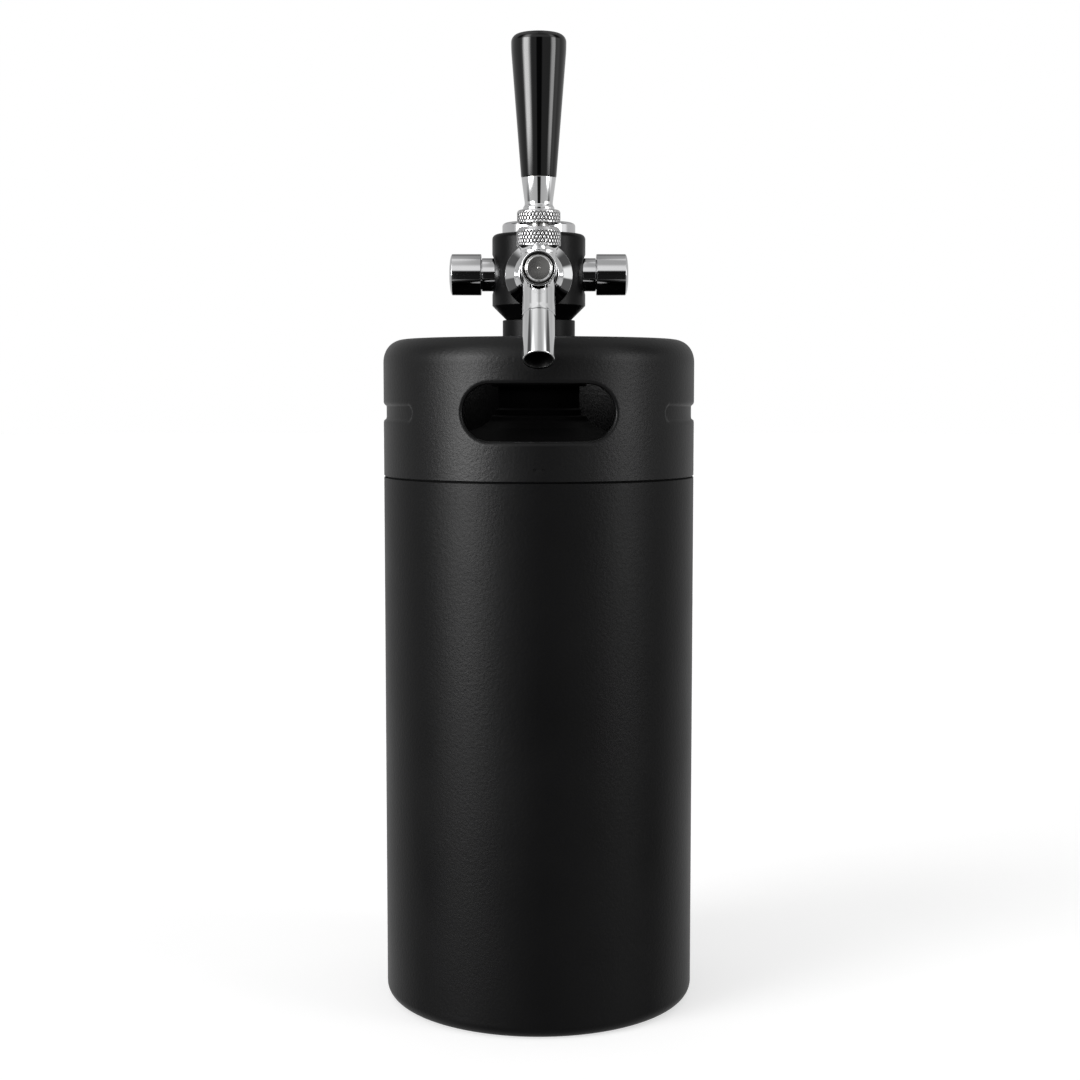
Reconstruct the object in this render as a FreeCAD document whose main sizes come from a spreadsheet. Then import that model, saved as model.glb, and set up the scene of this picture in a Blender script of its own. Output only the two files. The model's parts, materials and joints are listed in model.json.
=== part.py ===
import FreeCAD, Part
import math
import os
import Sketcher

V = FreeCAD.Vector
DOC = FreeCAD.newDocument("mini_keg_dispenser")

# ---------------------------------------------------------------------------
# Driving dimensions, millimetres and degrees. The keg stands on z = 0 on the
# Z axis, the faucet points to -Y.
# ---------------------------------------------------------------------------
DIMS = [
    ("keg_rad", 80.0), ("keg_top", 342.0), ("seam_z", 271.2), ("seam_gap", 1.2),
    ("wall", 1.0), ("foot_rad", 70.0),
    ("vessel_rad", 75.0), ("vessel_wall", 0.8), ("vessel_low", 8.0),
    ("neck_rad", 21.0), ("neck_bore", 16.5), ("neck_top", 333.0),
    ("slot_len", 73.4), ("slot_high", 27.4), ("slot_z", 305.4), ("lip_wide", 2.0), ("lip_deep", 5.0),
    ("groove_z", 304.9), ("groove_high", 9.3), ("groove_deep", 1.5), ("groove_start", 37.0), ("groove_sweep", 74.0),
    ("head_rad", 23.9), ("head_low", 352.2), ("head_high", 395.6), ("side_z", 375.2),
    ("cap_rad", 18.7), ("cap_high", 401.4),
    ("lock_rad", 18.6), ("lock_grip", 24.6), ("lock_low", 318.0),
    ("tube_rad", 4.75), ("tube_wall", 0.7), ("tube_low", 14.0),
    ("stem_rad", 8.5), ("stem_out", 29.2), ("port_rad", 6.1), ("knob_rad", 10.55), ("knob_in", 29.5), ("knob_out", 46.0),
    ("tap_z", 373.4), ("tap_y", 61.0), ("barrel_rad", 8.4), ("barrel_front", 80.0), ("barrel_rear", 36.0),
    ("flange_rad", 16.9), ("flange_back", 24.2), ("tap_bore", 6.5),
    ("ball_z", 387.4), ("ball_rad", 7.0), ("bonnet_rad", 10.6), ("bonnet_low", 385.7), ("bonnet_high", 394.8),
    ("collar_rad", 10.4), ("collar_low", 396.7), ("collar_high", 402.9),
    ("ferrule_high", 418.4), ("handle_high", 485.9), ("handle_foot", 8.52), ("handle_head", 13.2),
    ("spout_rad", 7.55), ("spout_bore", 6.8), ("spout_long", 24.5), ("spout_lean", 34.0),
    ("joint_y", 81.3), ("joint_z", 350.4), ("elbow_rad", 8.1), ("elbow_y", 64.6), ("post_drop", 0.85),
]
SHEET = DOC.addObject("Spreadsheet::Sheet", "Dims")
P = {}
for row, (alias, value) in enumerate(DIMS, 1):
    SHEET.set("A%d" % row, alias)
    SHEET.set("B%d" % row, str(value))
    SHEET.setAlias("B%d" % row, alias)
    P[alias] = value
DOC.recompute()


def num(c):
    """Number of a coordinate: a number, an alias, or (alias, offset)."""
    if isinstance(c, tuple):
        return P[c[0]] + c[1]
    if isinstance(c, str):
        return P[c]
    return float(c)


def expr(c):
    """Formula of a coordinate over the sheet, or None for a plain number."""
    if isinstance(c, tuple):
        return "Dims.%s + %.4f" % (c[0], c[1]) if c[1] >= 0 else "Dims.%s - %.4f" % (c[0], -c[1])
    if isinstance(c, str):
        return "Dims.%s" % c
    return None


def bind(obj, prop, c):
    e = expr(c)
    if e:
        obj.setExpression(prop, e)
    else:
        setattr(obj, prop, num(c))


UP = FreeCAD.Placement()


def along(direction, z):
    """Placement that turns local +Z to one of the horizontal axes at height z."""
    rot = {"-y": (V(1, 0, 0), 90), "+x": (V(0, 1, 0), 90), "-x": (V(0, 1, 0), -90)}[direction]
    return FreeCAD.Placement(V(0, 0, z), FreeCAD.Rotation(*rot))


SUBPARTS = []


def keep(obj, label):
    obj.Label = label
    SUBPARTS.append(obj)
    return obj


def turned(name, pts, placement=UP, angle=360.0):
    """Body of revolution: a closed half profile of (radius, height) corners."""
    body = DOC.addObject("PartDesign::Body", name)
    sk = body.newObject("Sketcher::SketchObject", name + "_profile")
    plane = [f for f in body.Origin.OriginFeatures if f.Role == "XZ_Plane"][0]
    sk.AttachmentSupport = [(plane, "")]
    sk.MapMode = "FlatFace"
    n = len(pts)
    xy = [(num(a), num(b)) for a, b in pts]
    geo = [Part.LineSegment(V(xy[i][0], xy[i][1], 0), V(xy[(i + 1) % n][0], xy[(i + 1) % n][1], 0)) for i in range(n)]
    sk.addGeometry(geo, False)
    cons = [Sketcher.Constraint("Coincident", i, 2, (i + 1) % n, 1) for i in range(n)]
    sk.addConstraint(cons)
    for i, (a, b) in enumerate(pts):
        if abs(xy[i][0]) < 1e-9:
            sk.addConstraint(Sketcher.Constraint("PointOnObject", i, 1, -2))
        else:
            k = sk.addConstraint(Sketcher.Constraint("DistanceX", -1, 1, i, 1, xy[i][0]))
            if expr(a):
                sk.setExpression("Constraints[%d]" % k, expr(a))
        if abs(xy[i][1]) < 1e-9:
            sk.addConstraint(Sketcher.Constraint("PointOnObject", i, 1, -1))
        else:
            k = sk.addConstraint(Sketcher.Constraint("DistanceY", -1, 1, i, 1, xy[i][1]))
            if expr(b):
                sk.setExpression("Constraints[%d]" % k, expr(b))
    rev = body.newObject("PartDesign::Revolution", name + "_turn")
    rev.Profile = sk
    rev.ReferenceAxis = (sk, ["V_Axis"])
    rev.Angle = angle
    body.Placement = placement
    return body


def cyl(name, rad, high, placement=UP, angle=360.0):
    o = DOC.addObject("Part::Cylinder", name)
    bind(o, "Radius", rad)
    bind(o, "Height", high)
    o.Placement = placement
    if angle != 360.0:
        bind(o, "Angle", angle)
    return o


def box(name, x, y, z, placement=UP):
    o = DOC.addObject("Part::Box", name)
    bind(o, "Length", x)
    bind(o, "Width", y)
    bind(o, "Height", z)
    o.Placement = placement
    return o


def ball(name, rad, centre):
    o = DOC.addObject("Part::Sphere", name)
    bind(o, "Radius", rad)
    o.Placement = FreeCAD.Placement(V(*centre), FreeCAD.Rotation())
    return o


def fuse(name, shapes):
    o = DOC.addObject("Part::MultiFuse", name)
    o.Shapes = shapes
    o.Refine = True
    return o


def cut(name, base, tools):
    tool = tools[0] if len(tools) == 1 else fuse(name + "_cutters", tools)
    o = DOC.addObject("Part::Cut", name)
    o.Base = base
    o.Tool = tool
    o.Refine = True
    return o


def common(name, a, b):
    o = DOC.addObject("Part::Common", name)
    o.Base = a
    o.Tool = b
    return o


def at(x, y, z, axis=None, deg=0.0):
    return FreeCAD.Placement(V(x, y, z), FreeCAD.Rotation(axis or V(0, 0, 1), deg))


KR = lambda d: ("keg_rad", d)
KT = lambda d: ("keg_top", d)

# ---------------------------------------------------------------------------
# Keg: pressed outer shell with a rounded foot, closing disc, inner vessel,
# domed top, screwed neck and the grip collar with its flanged hand slot.
# ---------------------------------------------------------------------------
keep(turned("outer_shell", [
    (60, 3.0), (64.0, 3.0), (67.0, 0.0), ("foot_rad", 0.0), (KR(-6.2), 0.75), (KR(-2.9), 3.4), (KR(-0.8), 7.0), (KR(0), 11.0),
    (KR(0), ("seam_z", -0.8)), (KR(-0.5), ("seam_z", -0.15)), (KR(-1.0), "seam_z"), (KR(-1.0), 11.2),
    (KR(-1.75), 7.5), (KR(-3.7), 4.15), (KR(-6.8), 1.75), (("foot_rad", -0.2), 1.0), (67.4, 1.0), (64.4, 4.0), (60, 4.0)]),
    "outer_shell")
keep(turned("base_disc", [(0, 4.0), (62.0, 4.0), (62.0, 5.0), (0, 5.0)]), "base_disc")
keep(turned("inner_vessel", [
    (0, "vessel_low"), (50, ("vessel_low", 0.5)), (64, ("vessel_low", 2.0)), (("vessel_rad", -4.0), 15), ("vessel_rad", 24),
    ("vessel_rad", 262), (("vessel_rad", -3.0), 271.5), (64, 278.5), (50, 283.5), (35, 287.5), (24.5, 290.6), (22.05, 291.0),
    (22.05, 290.2), (24.3, 289.8), (34.8, 286.7), (49.7, 282.7), (63.5, 277.8), (71.3, 271.0), (("vessel_rad", -0.8), 261.8),
    (("vessel_rad", -0.8), 24.2), (70.4, 15.6), (63.8, 10.8), (50, 9.3), (0, 8.8)]), "inner_vessel")
keep(turned("shell_top", [
    (KR(-1.3), ("seam_z", -7.0)), (KR(-1.3), ("seam_z", 4.5)), (KR(-2.2), ("seam_z", 6.6)), (KR(-4.4), ("seam_z", 9.0)), (70.5, 283.6), (60, 288.0), (46, 292.2), (34, 295.4),
    (29, 297.4), (26.6, 299.6), (25.2, 302.2), (22.05, 303.2), (22.05, 302.2), (24.4, 301.5), (25.8, 298.9), (28.5, 296.5),
    (33.7, 294.4), (45.7, 291.2), (59.7, 287.0), (70.0, 282.7), (KR(-5.0), ("seam_z", 8.1)), (KR(-3.1), ("seam_z", 6.0)), (KR(-2.3), ("seam_z", 4.2)), (KR(-2.3), ("seam_z", -7.0))]),
    "shell_top")
keep(turned("keg_neck", [
    ("neck_bore", 288.5), (22.0, 288.5), (22.0, 306.0), ("neck_rad", 307.0), ("neck_rad", ("neck_top", -0.8)), (("neck_rad", -0.8), "neck_top"),
    ("neck_bore", "neck_top")]), "keg_neck")

# grip collar: turned skin, rolled top edge, stadium slot with an in-turned lip,
# one long stiffening groove pressed into each side.
skin = turned("collar_skin", [
    (KR(0), ("seam_z", 1.6)), (KR(0), KT(-12.0)), (KR(-0.35), KT(-9.0)), (KR(-1.4), KT(-6.2)), (KR(-3.2), KT(-3.7)), (KR(-5.6), KT(-1.8)), (KR(-8.5), KT(-0.5)), (KR(-11.5), KT(0)),
    (KR(-14.0), KT(-0.5)), (KR(-15.9), KT(-1.9)), (KR(-16.8), KT(-4.0)), (KR(-15.6), KT(-4.0)), (KR(-14.9), KT(-2.6)), (KR(-13.6), KT(-1.6)), (KR(-11.5), KT(-1.2)),
    (KR(-8.9), KT(-1.65)), (KR(-6.3), KT(-2.85)), (KR(-4.1), KT(-4.5)), (KR(-2.5), KT(-6.75)), (KR(-1.55), KT(-9.2)), (KR(-1.2), KT(-12.1)), (KR(-1.2), ("seam_z", 1.2)), (KR(-0.4), ("seam_z", 1.2))])


def stadium(name, grow, y0, depth):
    half = P["slot_high"] / 2 + grow
    run = P["slot_len"] - P["slot_high"]
    b = box(name + "_mid", 1, depth, 1, at(-run / 2, y0, P["slot_z"] - half))
    b.setExpression("Length", "Dims.slot_len - Dims.slot_high")
    b.setExpression("Height", "Dims.slot_high + %.3f" % (2 * grow))
    ends = []
    for side in (-1, 1):
        c = cyl(name + ("_right" if side > 0 else "_left"), half, depth, at(side * run / 2, y0, P["slot_z"], V(1, 0, 0), -90))
        c.setExpression("Radius", "Dims.slot_high / 2 + %.3f" % grow)
        ends.append(c)
    return fuse(name, [b] + ends)


lip_zone = cut("lip_zone", cyl("lip_outer", "keg_rad", 40.0, at(0, 0, 286)), [cyl("lip_inner", ("keg_rad", -5.4), 44.0, at(0, 0, 284))])
lip = common("slot_lip", stadium("lip_stadium", 1.1, -82, 22), lip_zone)


def sector(name, outer, inner, high, z, start, sweep):
    a = cyl(name + "_out", outer, high, at(0, 0, z, V(0, 0, 1), start), sweep)
    b = cyl(name + "_in", inner, num(high) + 2.0, at(0, 0, z - 1.0, V(0, 0, 1), start - 2), num(sweep) + 4)
    return cut(name, a, [b])


ribs, grooves = [], []
for tag, mid in (("right", 0.0), ("left", 180.0)):
    start = mid - P["groove_sweep"] / 2
    zlow = P["groove_z"] - P["groove_high"] / 2
    ribs.append(sector("rib_" + tag, ("keg_rad", -1.0), ("keg_rad", -2.7), ("groove_high", 2.4), zlow - 1.2, start - 1, ("groove_sweep", 2.0)))
    grooves.append(sector("groove_" + tag, ("keg_rad", 1.0), ("keg_rad", -1.5), "groove_high", zlow, start, "groove_sweep"))
collar_full = fuse("collar_full", [skin, lip] + ribs)
keep(cut("grip_collar", collar_full, [stadium("slot_void", 0.0, -84, 26)] + grooves), "grip_collar")

# ---------------------------------------------------------------------------
# Tap head: machined block, hollow nipple with its captive lock ring, gasket,
# siphon tube, top plug.
# ---------------------------------------------------------------------------
HL = lambda d: ("head_low", d)
HH = lambda d: ("head_high", d)
block = turned("head_block", [
    (10.05, HL(0)), (16.8, HL(0)), ("head_rad", HL(7.1)), ("head_rad", HH(-3.0)), (("head_rad", -0.8), HH(-0.9)), (("head_rad", -2.8), HH(0)),
    (12.05, HH(0)), (12.05, HH(-8.6)), (0, HH(-8.6)), (0, 380), (4.8, 380), (4.8, 368.5), (7.0, 368.5), (7.0, 365.0), (13.2, 365.0),
    (13.2, 361.5), (10.05, 361.5)])
sz, tz = P["side_z"], P["tap_z"]
keep(cut("head_body", block, [
    cyl("left_port", ("port_rad", 0.05), 20, FreeCAD.Placement(V(-10.5, 0, sz), FreeCAD.Rotation(V(0, 1, 0), -90))),
    cyl("right_port", ("port_rad", 0.05), 20, FreeCAD.Placement(V(10.5, 0, sz), FreeCAD.Rotation(V(0, 1, 0), 90))),
    cyl("left_spot", 10.25, 10, FreeCAD.Placement(V(-22.3, 0, sz), FreeCAD.Rotation(V(0, 1, 0), -90))),
    cyl("right_spot", 10.25, 10, FreeCAD.Placement(V(22.3, 0, sz), FreeCAD.Rotation(V(0, 1, 0), 90))),
    cyl("front_way", 3.4, 28, FreeCAD.Placement(V(0, -2, tz), FreeCAD.Rotation(V(1, 0, 0), 90))),
    cyl("front_port", 8.05, 20, FreeCAD.Placement(V(0, -12, tz), FreeCAD.Rotation(V(1, 0, 0), 90))),
    cyl("gas_drill_left", 1.1, 12, at(-11.8, 0, 363)),
    cyl("gas_drill_right", 1.1, 12, at(11.8, 0, 363))]), "head_body")
keep(turned("neck_nipple", [
    (7.5, 334.5), (20.5, 334.5), (20.5, 338.8), (13.0, 338.8), (13.0, HL(0)), (10.0, HL(0)), (10.0, 361.3), (7.5, 361.3)]), "neck_nipple")
keep(turned("neck_gasket", [(16.8, "neck_top"), (20.5, "neck_top"), (20.5, 334.5), (16.8, 334.5)]), "neck_gasket")
keep(turned("lock_ring", [
    (("neck_rad", 0.06), "lock_low"), (("lock_grip", -0.6), "lock_low"), ("lock_grip", ("lock_low", 0.8)), ("lock_grip", 338.2), (23.4, 340.2), (("lock_rad", 0.6), 341.0), ("lock_rad", 341.8),
    ("lock_rad", HL(-0.8)), (("lock_rad", -0.5), HL(-0.3)), (13.06, HL(-0.3)), (13.06, 339.1), (("neck_rad", 0.06), 339.1)]), "lock_ring")
keep(turned("siphon_tube", [
    (("tube_rad", -0.7), "tube_low"), ("tube_rad", "tube_low"), ("tube_rad", 370.0), (("tube_rad", -0.7), 370.0)]), "siphon_tube")
keep(turned("siphon_seal", [
    (("tube_rad", 0.02), 365.4), (6.6, 365.4), (6.95, 366.0), (6.95, 367.8), (6.6, 368.4), (("tube_rad", 0.02), 368.4)]), "siphon_seal")
keep(turned("top_plug", [
    (0, HH(-7.6)), (12.0, HH(-7.6)), (12.0, HH(0)), ("cap_rad", HH(0)), ("cap_rad", ("cap_high", -1.6)), (("cap_rad", -0.5), ("cap_high", -0.6)),
    (("cap_rad", -1.8), "cap_high"), (13.0, "cap_high"), (12.4, ("cap_high", -0.8)), (0, ("cap_high", -0.8))]), "top_plug")
keep(turned("top_plug_seal", [(8.5, HH(-8.6)), (11.9, HH(-8.6)), (11.9, HH(-7.6)), (8.5, HH(-7.6))]), "top_plug_seal")

# ---------------------------------------------------------------------------
# Left side: gas inlet with a sprung valve pin and a pull-off dust cap.
# ---------------------------------------------------------------------------
LEFT, RIGHT, FRONT = along("-x", sz), along("+x", sz), along("-y", tz)
keep(turned("gas_inlet_stem", [
    (3.2, 11), ("port_rad", 11), ("port_rad", 22.3), ("stem_rad", 22.3), ("stem_rad", "stem_out"), (7.5, "stem_out"), (7.5, 42.6), (7.1, 43.0), (2.0, 43.0),
    (2.0, 40.0), (4.3, 40.0), (4.3, 13.0), (3.2, 13.0)], LEFT), "gas_inlet_stem")
keep(turned("gas_inlet_pin", [
    (0, 20.0), (1.6, 20.0), (1.6, 36.8), (3.9, 36.8), (3.9, 39.2), (1.6, 39.2), (1.6, 43.2), (0, 43.6)], LEFT), "gas_inlet_pin")
keep(turned("gas_inlet_seal", [(1.62, 39.2), (3.9, 39.2), (3.9, 39.9), (1.62, 39.9)], LEFT), "gas_inlet_seal")
CAPSKIN = [(7.8, "knob_in"), (("knob_rad", -0.35), "knob_in"), ("knob_rad", ("knob_in", 0.4)), ("knob_rad", ("knob_out", -1.2)),
           (("knob_rad", -0.6), ("knob_out", -0.5)), (7.0, ("knob_out", -0.1)), (0, "knob_out")]
keep(turned("gas_inlet_cap", CAPSKIN + [(0, 44.1), (7.8, 44.1)], LEFT), "gas_inlet_cap")

# Right side: relief valve, pull knob on a sprung spindle.
keep(turned("relief_stem", [
    (3.2, 11), ("port_rad", 11), ("port_rad", 22.3), ("stem_rad", 22.3), ("stem_rad", "stem_out"), (7.5, "stem_out"), (7.5, 33.0), (2.1, 33.0),
    (2.1, 30.0), (5.1, 30.0), (5.1, 14.5), (3.2, 14.5)], RIGHT), "relief_stem")
keep(turned("relief_spindle", [
    (0, 15.1), (4.6, 15.1), (4.6, 17.5), (1.6, 17.5), (1.6, 44.0), (0, 44.0)], RIGHT), "relief_spindle")
keep(turned("relief_seal", [(0, 14.55), (4.6, 14.55), (4.6, 15.1), (0, 15.1)], RIGHT), "relief_seal")
keep(turned("relief_knob", CAPSKIN + [(0, 44.05), (1.62, 44.05), (1.62, 40.0), (7.8, 40.0)], RIGHT), "relief_knob")


def spring(name, rad, wire, length, turns, placement):
    """Compression spring of round wire, drawn at its fitted length."""
    pitch = (length - wire) / turns
    helix = Part.makeHelix(pitch, length - wire, rad)
    start = V(rad, 0, 0)
    ring = Part.Wire([Part.Circle(start, V(0, 1, pitch / (2 * math.pi * rad)), wire / 2).toShape()])
    coil = Part.Wire(helix.Edges).makePipeShell([ring], True, True)
    coil.translate(V(0, 0, wire / 2))
    o = DOC.addObject("Part::Feature", name)
    o.Shape = coil
    o.Placement = placement
    return o


def deeper(p, s):
    q = FreeCAD.Placement(p)
    q.Base = p.Base + p.Rotation.multVec(V(0, 0, s))
    return q


keep(spring("gas_inlet_spring", 3.0, 0.7, 23.6, 9, deeper(LEFT, 13.1)), "gas_inlet_spring")
keep(spring("relief_spring", 3.6, 0.8, 11.9, 6, deeper(RIGHT, 17.9)), "relief_spring")

# ---------------------------------------------------------------------------
# Faucet: shank, coupling flange, body with elbow, spout, sliding shaft, ball
# lever under a knurled bonnet, collar, ferrule and handle.
# ---------------------------------------------------------------------------
keep(turned("shank", [
    (3.4, 12.2), (8.0, 12.2), (8.0, 34.5), (5.2, 34.5), (5.2, 27.0), (3.4, 27.0)], FRONT), "shank")
keep(turned("coupling_flange", [
    (8.06, "flange_back"), ("flange_rad", "flange_back"), ("flange_rad", ("flange_back", 1.4)), (("flange_rad", -1.3), ("flange_back", 2.8)), (12.6, 29.6), (11.2, 32.0), (10.3, 36.0),
    (9.9, 40.0), (("barrel_rad", 0.05), 40.0), (("barrel_rad", 0.05), 38.05), (9.55, 38.05), (9.55, 34.6), (8.06, 34.6)], FRONT), "coupling_flange")
keep(turned("tail_gasket", [(5.3, 34.6), (9.3, 34.6), (9.3, "barrel_rear"), (5.3, "barrel_rear")], FRONT), "tail_gasket")

ty = -P["tap_y"]
barrel = turned("barrel", [
    (0, "barrel_rear"), (9.5, "barrel_rear"), (9.5, 38.0), ("barrel_rad", 38.0), ("barrel_rad", ("barrel_front", -0.4)), (("barrel_rad", -0.4), "barrel_front"), (0, "barrel_front")], FRONT)
post = turned("post", [
    (0, "tap_z"), ("barrel_rad", "tap_z"), ("barrel_rad", 381.4), (8.7, 382.8), (9.3, 384.0), (10.3, 385.0), (10.4, 385.6), (9.25, 385.6), (9.25, 390.0), (0, 390.0)],
    at(0, ty, -P["post_drop"]))
run_y, run_z = P["joint_y"] - P["elbow_y"], P["tap_z"] - P["joint_z"]
run = math.hypot(run_y, run_z)
elbow_lean = math.degrees(math.atan2(run_y, run_z))
elbow = cyl("elbow_solid", "elbow_rad", 10.0, at(0, -P["elbow_y"], tz, V(1, 0, 0), 180 - elbow_lean))
elbow.setExpression("Height", "sqrt((Dims.joint_y - Dims.elbow_y)^2 + (Dims.tap_z - Dims.joint_z)^2) + 8")
lean = math.radians(P["spout_lean"])
SPOUT = at(0, -P["joint_y"], P["joint_z"], V(1, 0, 0), 180 - P["spout_lean"])
trim = box("elbow_trim", 60, 60, 60, deeper(at(0, 0, 0), 0))
q = FreeCAD.Placement(SPOUT)
q.Base = SPOUT.Base + SPOUT.Rotation.multVec(V(-30, -30, 0))
trim.Placement = q
stub = cut("elbow_stub", elbow, [trim])
solid = fuse("faucet_solid", [barrel, post, stub])
way_y = P["joint_y"] - 63.0
way_lean = math.degrees(math.atan2(way_y, run_z))
keep(cut("faucet_body", solid, [
    turned("bore_void", [(0, 33), (3.6, 33), (3.6, 38.4), ("tap_bore", 38.4), ("tap_bore", 78.0), (7.5, 78.0), (7.5, 83.0), (0, 83.0)], FRONT),
    turned("ball_void", [(0, "tap_z"), (5.3, "tap_z"), (5.3, 381.4), (7.1, 381.4), (7.1, 392.0), (0, 392.0)], at(0, ty, -P["post_drop"])),
    cyl("beer_way", 3.7, 40.0, at(0, -63.0, tz, V(1, 0, 0), 180 - way_lean)),
    turned("spout_socket", [(0, -7.0), (3.7, -7.0), (6.3, -3.5), (6.3, 6.0), (0, 6.0)], SPOUT)]), "faucet_body")
keep(turned("spout_tube", [
    (6.5, 0), ("spout_rad", 0), ("spout_rad", "spout_long"), ("spout_bore", "spout_long"), ("spout_bore", 5.5), (6.5, 5.5)], SPOUT), "spout_tube")
keep(turned("spout_liner_seal", [
    (5.6, -3.0), (6.28, -3.0), (6.28, 2.0), (6.45, 2.6), (6.45, 5.0), (5.6, 5.0)], SPOUT), "spout_liner_seal")
keep(turned("front_seal", [(6.52, 78.1), (7.48, 78.1), (7.48, 79.4), (6.52, 79.4)], FRONT), "front_seal")

shaft_full = turned("shaft_turned", [
    (0, 32.6), (4.6, 32.6), (4.6, 34.6), (2.0, 34.6), (2.0, 55.5), (5.2, 55.5), (5.2, 66.5), (2.6, 66.5), (2.6, 75.6), (6.45, 75.6), (6.45, 79.6),
    (5.4, 80.3), (0.7, 80.3), (0.5, 80.6), (0, 80.7)], FRONT)
keep(cut("valve_shaft", shaft_full, [
    box("shaft_slot", 5.4, 5.6, 14.0, at(-2.7, ty - 2.8, tz - 7.0)),
    box("flat_top", 14, 11.2, 6, at(-7, ty - 5.6, tz + 3.0)),
    box("flat_under", 14, 11.2, 6, at(-7, ty - 5.6, tz - 9.0))]), "valve_shaft")
keep(turned("shaft_washer", [(2.05, 34.6), (4.8, 34.6), (4.8, 35.95), (2.05, 35.95)], FRONT), "shaft_washer")

PIV = at(0, ty, -P["post_drop"])
keep(turned("ball_seat", [(5.0, 381.4), (7.05, 381.4), (7.05, 383.4), (5.95, 383.4)], PIV), "ball_seat")
keep(turned("friction_ring", [(6.75, 390.0), (9.2, 390.0), (9.2, 391.0), (6.62, 391.0)], PIV), "friction_ring")
keep(turned("bonnet", [
    (9.3, "bonnet_low"), (("bonnet_rad", -0.3), "bonnet_low"), ("bonnet_rad", ("bonnet_low", 0.3)), ("bonnet_rad", ("bonnet_high", -1.5)), (("bonnet_rad", -0.4), ("bonnet_high", -0.6)),
    (("bonnet_rad", -1.2), "bonnet_high"), (8.3, "bonnet_high"), (7.4, 392.1), (6.9, 391.1), (9.3, 391.1)], PIV), "bonnet")
lever_turn = turned("lever_turned", [
    (0, ("tap_z", 1.4)), (1.7, ("tap_z", 1.4)), (1.7, 383.0), (3.5, 383.0), (3.5, 389.0), (4.6, 391.0), (4.6, 399.2), (3.9, 399.2), (3.9, 423.0), (0, 423.0)], PIV)
keep(fuse("ball_lever", [lever_turn, ball("pivot_ball", "ball_rad", (0, ty, P["ball_z"] - P["post_drop"])), ball("lever_tip", 2.3, (0, ty, tz))]), "ball_lever")
keep(turned("lever_collar", [
    (3.95, 399.2), (9.6, 399.2), (9.6, "collar_low"), ("collar_rad", "collar_low"), ("collar_rad", ("collar_high", -1.4)), (("collar_rad", -0.5), ("collar_high", -0.5)),
    (("collar_rad", -2.4), "collar_high"), (3.95, "collar_high")], PIV), "lever_collar")
keep(turned("handle_ferrule", [
    (3.95, ("collar_high", 0.05)), (7.6, ("collar_high", 0.05)), (7.45, ("collar_high", 1.2)), (6.7, ("collar_high", 2.5)), (6.68, ("collar_high", 3.6)), (8.33, "ferrule_high"), (5.55, "ferrule_high"),
    (5.55, 408.0), (3.95, 408.0)], PIV), "handle_ferrule")
keep(turned("handle_insert", [(3.95, 408.1), (5.5, 408.1), (5.5, 432.0), (3.95, 432.0)], PIV), "handle_insert")
HT = lambda d: ("handle_high", d)
keep(turned("tap_handle", [
    (5.55, ("ferrule_high", 0.1)), ("handle_foot", ("ferrule_high", 0.1)), (("handle_head", -0.05), HT(-7.0)), ("handle_head", HT(-4.6)), (("handle_head", -0.3), HT(-3.4)),
    (("handle_head", -1.0), HT(-2.3)), (("handle_head", -2.2), HT(-1.4)), (("handle_head", -4.3), HT(-0.7)), (6.0, HT(-0.2)), (0, HT(0)), (0, 432.2), (5.55, 432.2)], PIV), "tap_handle")

# ---------------------------------------------------------------------------
# Checks and output.
# ---------------------------------------------------------------------------
DOC.recompute()
for o in DOC.Objects:
    bad = [s for s in o.State if s in ("Invalid", "Error")]
    if bad:
        raise SystemExit("failed object %s %s" % (o.Name, bad))
os.makedirs("parts", exist_ok=True)
for o in SUBPARTS:
    shape = o.Shape
    if shape.isNull() or not shape.isValid() or not shape.Solids:
        raise SystemExit("bad shape " + o.Label)
    if len(shape.Solids) != 1 or shape.Volume <= 0:
        raise SystemExit("solid count %s %d vol %.2f" % (o.Label, len(shape.Solids), shape.Volume))
for o in SUBPARTS:
    o.Shape.exportStep(os.path.join("parts", o.Label + ".step"))
box_all = None
for o in SUBPARTS:
    b = o.Shape.BoundBox
    print("%-18s vol %9.1f  x %7.2f %7.2f  y %7.2f %7.2f  z %7.2f %7.2f" % (o.Label, o.Shape.Volume, b.XMin, b.XMax, b.YMin, b.YMax, b.ZMin, b.ZMax))
print(len(SUBPARTS), "sub-parts")
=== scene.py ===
import json
import math

import bmesh
import bpy
import numpy as np
from mathutils import Matrix, Vector


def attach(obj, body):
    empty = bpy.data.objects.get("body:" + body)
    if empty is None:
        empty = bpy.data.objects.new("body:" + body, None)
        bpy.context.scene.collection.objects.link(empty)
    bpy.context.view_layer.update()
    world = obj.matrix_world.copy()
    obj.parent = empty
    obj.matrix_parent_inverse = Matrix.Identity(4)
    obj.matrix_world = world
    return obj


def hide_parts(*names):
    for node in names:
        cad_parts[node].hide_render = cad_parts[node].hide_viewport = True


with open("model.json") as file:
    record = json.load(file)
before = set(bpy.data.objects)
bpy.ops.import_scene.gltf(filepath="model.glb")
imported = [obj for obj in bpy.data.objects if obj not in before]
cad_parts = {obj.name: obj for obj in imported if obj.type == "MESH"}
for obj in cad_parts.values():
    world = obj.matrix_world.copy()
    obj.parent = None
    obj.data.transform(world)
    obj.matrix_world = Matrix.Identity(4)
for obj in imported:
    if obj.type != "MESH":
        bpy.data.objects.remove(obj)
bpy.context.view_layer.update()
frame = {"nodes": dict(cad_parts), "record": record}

MM = 0.001

# ---------------------------------------------------------------------------
# Materials. Every pattern is read in object space, in metres, so grain sizes
# are real ones and stay on the piece when it moves.
# ---------------------------------------------------------------------------


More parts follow.
